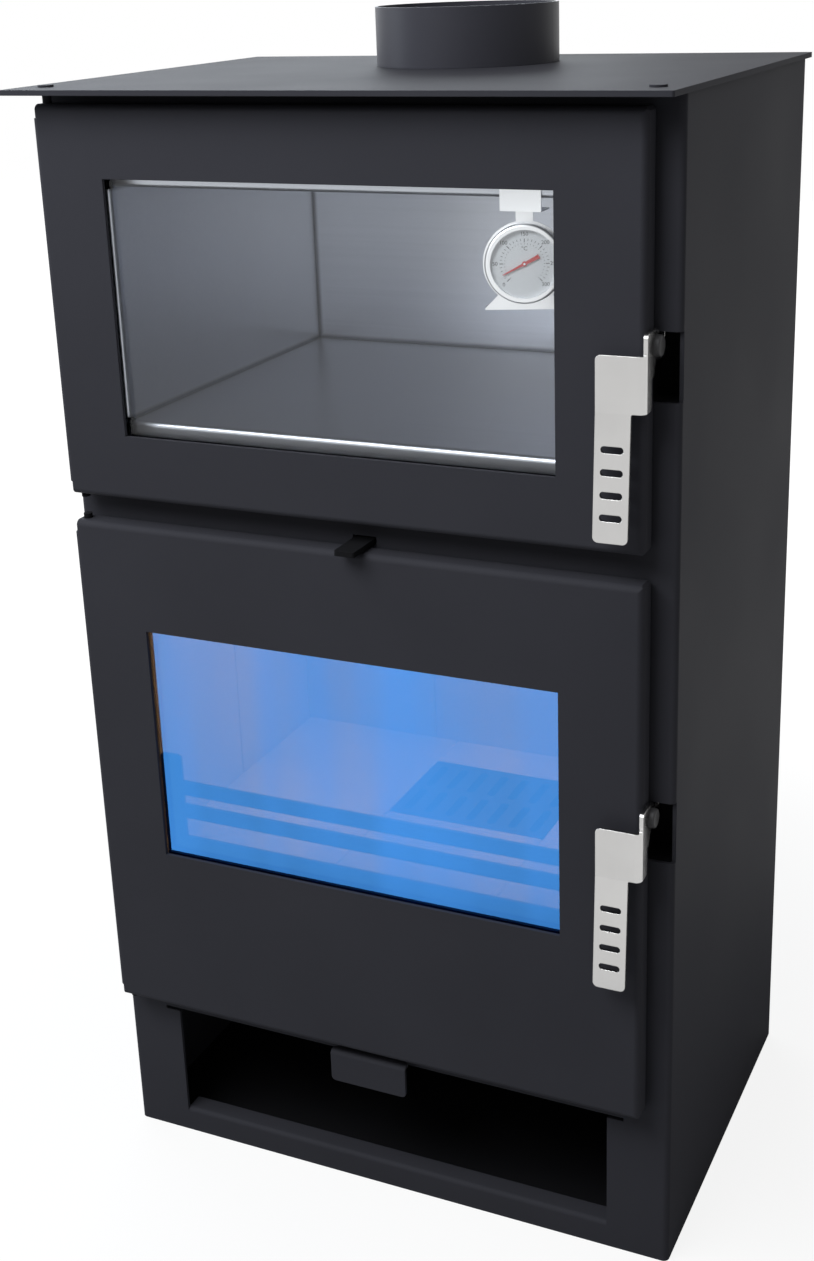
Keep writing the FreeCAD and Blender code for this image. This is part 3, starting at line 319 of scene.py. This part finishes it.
def soft_ring(name, body, node, width, corner, rounding):
    """A flat ring in the node's box, with round corners and a rounded outer side."""
    low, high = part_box(node)
    centre = (Vector(low) + Vector(high)) / 2
    sharp = 1.0
    bm = bmesh.new()
    ends = [(low.x, low.z), (high.x, low.z), (high.x, high.z), (low.x, high.z)]
    bm.faces.new([bm.verts.new((x, low.y, z)) for x, z in ends])
    bmesh.ops.bevel(bm, geom=bm.verts[:], offset=corner, affect="VERTICES", segments=6, profile=0.5,
                    material=-1)
    bm.faces.ensure_lookup_table()
    bmesh.ops.inset_region(bm, faces=bm.faces[:], thickness=width, use_boundary=True, use_even_offset=True)
    middle = min(bm.faces, key=lambda face: (face.calc_center_median() - centre).length)
    bmesh.ops.delete(bm, geom=[middle], context="FACES")
    grown = bmesh.ops.extrude_face_region(bm, geom=bm.faces[:])["geom"]
    raised = [v for v in grown if isinstance(v, bmesh.types.BMVert)]
    bmesh.ops.translate(bm, vec=(0, high.y - low.y, 0), verts=raised)
    bmesh.ops.recalc_face_normals(bm, faces=bm.faces[:])
    rim = [e for e in bm.edges if len(e.link_faces) == 2 and e.calc_face_angle() > sharp
           and min(v.co.y for v in e.verts) > centre.y]
    bmesh.ops.bevel(bm, geom=rim, offset=rounding, affect="EDGES", segments=4, profile=0.5, material=-1)
    mesh = bpy.data.meshes.new(name)
    bm.to_mesh(mesh)
    bm.free()
    for face in mesh.polygons:
        face.use_smooth = True
    ring = bpy.data.objects.new(name, mesh)
    bpy.context.scene.collection.objects.link(ring)
    mesh.materials.append(rope_yarn)
    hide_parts(node)
    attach(ring, body)


rope_yarn = knitted_rope()
for door in ("oven", "fire"):
    soft_ring(door + "_rope", door + "_door", door + "_door_seal", width=0.0094, corner=0.0137,
              rounding=0.0036)
    soft_ring(door + "_tape", door + "_door", door + "_glass_tape", width=0.0069, corner=0.002,
              rounding=0.0004)


# Dial print: the thermometer's scale from 0 to 300, with strokes, round numbers and the unit. It is grey ink,
# printed on the white dial.
dial_low, dial_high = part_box("thermometer_dial")
dial_centre = (Vector(dial_low) + Vector(dial_high)) / 2
dial_turn = Matrix.Rotation(math.radians(18.0), 4, "Z")
print_lift = Matrix.Translation((0, -0.00032, 0))
scale_start, turn_per_unit = -135.0, 0.9
grey_ink = enamel("grey_ink", (0.1, 0.1, 0.11), (0.16, 0.16, 0.17))


def on_dial(mesh):
    mesh.transform(Matrix.Translation(dial_centre) @ dial_turn @ print_lift)
    mesh.materials.append(grey_ink)
    return mesh


def dial_strokes():
    stroke_count, stroke_units, strokes_per_number = 31, 10, 5
    ink, fine, bold = 0.0001, 0.0003, 0.0005
    outer_top, inner_top = 0.0175, 0.0143
    bm = bmesh.new()
    for step in range(stroke_count):
        turn = math.radians(scale_start + stroke_units * turn_per_unit * step)
        outer = (fine, 0.0015, outer_top) if step % strokes_per_number else (bold, 0.0026, outer_top)
        inner = (fine, 0.0007, inner_top)
        for width, tall, top in (outer, inner):
            made = bmesh.ops.create_cube(bm, size=1.0)["verts"]
            bmesh.ops.scale(bm, vec=(width, ink, tall), verts=made)
            bmesh.ops.translate(bm, vec=(0, 0, top - tall / 2), verts=made)
            bmesh.ops.rotate(bm, cent=(0, 0, 0), matrix=Matrix.Rotation(turn, 3, "Y"), verts=made)
    mesh = bpy.data.meshes.new("dial_strokes")
    bm.to_mesh(mesh)
    bm.free()
    return mesh


def dial_sign(words, size, reach, turn):
    letters = bpy.data.curves.new("dial_sign", "FONT")
    letters.body = words
    letters.size = size
    letters.align_x = "CENTER"
    letters.align_y = "CENTER"
    letters.extrude = 0.00005
    holder = bpy.data.objects.new("dial_sign_holder", letters)
    bpy.context.scene.collection.objects.link(holder)
    bpy.context.view_layer.update()
    shaped = holder.evaluated_get(bpy.context.evaluated_depsgraph_get())
    mesh = bpy.data.meshes.new_from_object(shaped)
    bpy.data.objects.remove(holder)
    mesh.transform(Matrix.Translation((reach * math.sin(turn), 0, reach * math.cos(turn)))
                   @ Matrix.Rotation(math.radians(90.0), 4, "X"))
    return mesh


def print_piece(name, mesh):
    piece = bpy.data.objects.new(name, on_dial(mesh))
    bpy.context.scene.collection.objects.link(piece)
    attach(piece, "root")


print_piece("dial_strokes", dial_strokes())
print_piece("dial_unit", dial_sign("°C", size=0.004, reach=0.0105, turn=0.0))
for value in (0, 50, 100, 150, 200, 250, 300):
    value_turn = math.radians(scale_start + turn_per_unit * value)
    number = dial_sign(str(value), size=0.0038, reach=0.0207, turn=value_turn)
    print_piece("dial_number_%d" % value, number)


# Studio: a pale matt floor that runs out of sight, a white backdrop and soft lamps, with a small one in the
# firebox. The floor shows nearly white to the camera and keeps part of the object's shadow. Reflections near
# the object show the plain floor.
def studio_floor():
    bm = bmesh.new()
    bmesh.ops.create_grid(bm, x_segments=1, y_segments=1, size=6.0)
    mesh = bpy.data.meshes.new("studio_floor")
    bm.to_mesh(mesh)
    bm.free()
    floor = bpy.data.objects.new("studio_floor", mesh)
    bpy.context.scene.collection.objects.link(floor)
    material, surface, place = finish_named("pale_floor")
    grain = place.node("ShaderNodeTexNoise", Vector=place, Scale=3.0, Detail=2.0)
    feed(surface, Base_Color=grain.blend((0.42, 0.42, 0.42), (0.48, 0.48, 0.48)), Roughness=0.9)
    path = place.node("ShaderNodeLightPath")
    seen = path.math("MAXIMUM", path.out("Is Transmission Ray"))
    away = place.node("ShaderNodeVectorMath", {"operation": "LENGTH"}, n0=place).out("Value")
    smooth = {"interpolation_type": "SMOOTHSTEP"}
    near, far, mirror_far, near_share = 0.4, 1.4, 0.85, 0.78
    share = place.node("ShaderNodeMapRange", smooth, Value=away, n1=near, n2=far, n3=near_share, n4=1.0)
    mirrored = place.node("ShaderNodeMapRange", smooth, Value=away, n1=near, n2=mirror_far, n3=0.0, n4=1.0)
    part = (seen * share).math("MAXIMUM", path.out("Is Glossy Ray") * mirrored)
    white = place.node("ShaderNodeEmission", Strength=1.12)
    mixed = place.node("ShaderNodeMixShader", n0=part, n1=Shade(place.tree, surface.outputs[0]), n2=white)
    place.tree.links.new(mixed.socket, place.tree.nodes["Material Output"].inputs["Surface"])
    mesh.materials.append(material)


def soft_lamp(name, place, aim, size, power, colour=(1.0, 1.0, 1.0)):
    lamp = bpy.data.lights.new(name, "AREA")
    lamp.shape = "RECTANGLE"
    lamp.size, lamp.size_y = size
    lamp.energy = power
    lamp.color = colour
    holder = bpy.data.objects.new(name, lamp)
    holder.location = place
    holder.rotation_euler = (Vector(aim) - Vector(place)).to_track_quat("-Z", "Y").to_euler()
    holder.visible_camera = False
    bpy.context.scene.collection.objects.link(holder)


def white_room():
    world = bpy.data.worlds.new("white_room")
    bpy.context.scene.world = world
    world.use_nodes = True
    tree = world.node_tree
    ground = tree.nodes["Background"]
    path = Shade(tree, tree.nodes.new("ShaderNodeLightPath").outputs["Is Camera Ray"])
    seen = path.math("MAXIMUM", path.out("Is Glossy Ray")).math("MAXIMUM", path.out("Is Transmission Ray"))
    ground.inputs["Color"].default_value = (1.0, 1.0, 1.0, 1.0)
    ambient = 0.3
    tree.links.new((seen * (1.0 - ambient) + ambient).socket, ground.inputs["Strength"])


studio_floor()
white_room()
soft_lamp("window_light", (-1.6, 1.7, 1.7), (0.0, 0.0, 0.95), (2.6, 1.3), 40.0, (0.86, 0.93, 1.0))
soft_lamp("side_light", (-2.0, -0.5, 1.35), (0.0, 0.0, 0.9), (0.8, 1.0), 16.0, (0.84, 0.92, 1.0))
soft_lamp("room_light", (-0.5, -1.15, 1.85), (0.0, -0.2, 0.85), (1.4, 0.9), 36.0, (0.94, 0.965, 1.0))
soft_lamp("firebox_light", (0.0, 0.0, 0.552), (0.0, 0.02, 0.2), (0.4, 0.22), 1.1)

# Camera: fitted to the photograph's straight edges, in pixels of its own frame. The lens and its shift keep
# the photograph's crop.
photo_wide, photo_tall, sensor = 814.0, 1261.0, 36.0
camera_place = Vector((0.58153, -1.29487, 1.02190))
camera_yaw, camera_pitch, camera_roll = 0.4368, -0.3289, -0.0339
focal_pixels, centre_u, centre_v = 1734.05, 424.67, 547.28
ahead = Vector((-math.sin(camera_yaw) * math.cos(camera_pitch),
                math.cos(camera_yaw) * math.cos(camera_pitch), math.sin(camera_pitch)))
right = ahead.cross(Vector((0, 0, 1))).normalized()
up = right.cross(ahead)
rolled_right = right * math.cos(camera_roll) + up * math.sin(camera_roll)
rolled_up = up * math.cos(camera_roll) - right * math.sin(camera_roll)
lens = bpy.data.cameras.new("photo_camera")
lens.sensor_width = sensor
lens.lens = focal_pixels * sensor / photo_tall
lens.shift_x = (photo_wide / 2 - centre_u) / photo_tall
lens.shift_y = (centre_v - photo_tall / 2) / photo_tall
lens.clip_start = 0.01
camera = bpy.data.objects.new("photo_camera", lens)
camera.matrix_world = Matrix.Translation(camera_place) @ Matrix(
    (rolled_right, rolled_up, -ahead)).transposed().to_4x4()
bpy.context.scene.collection.objects.link(camera)
bpy.context.scene.camera = camera
bpy.context.scene.view_settings.view_transform = "Standard"
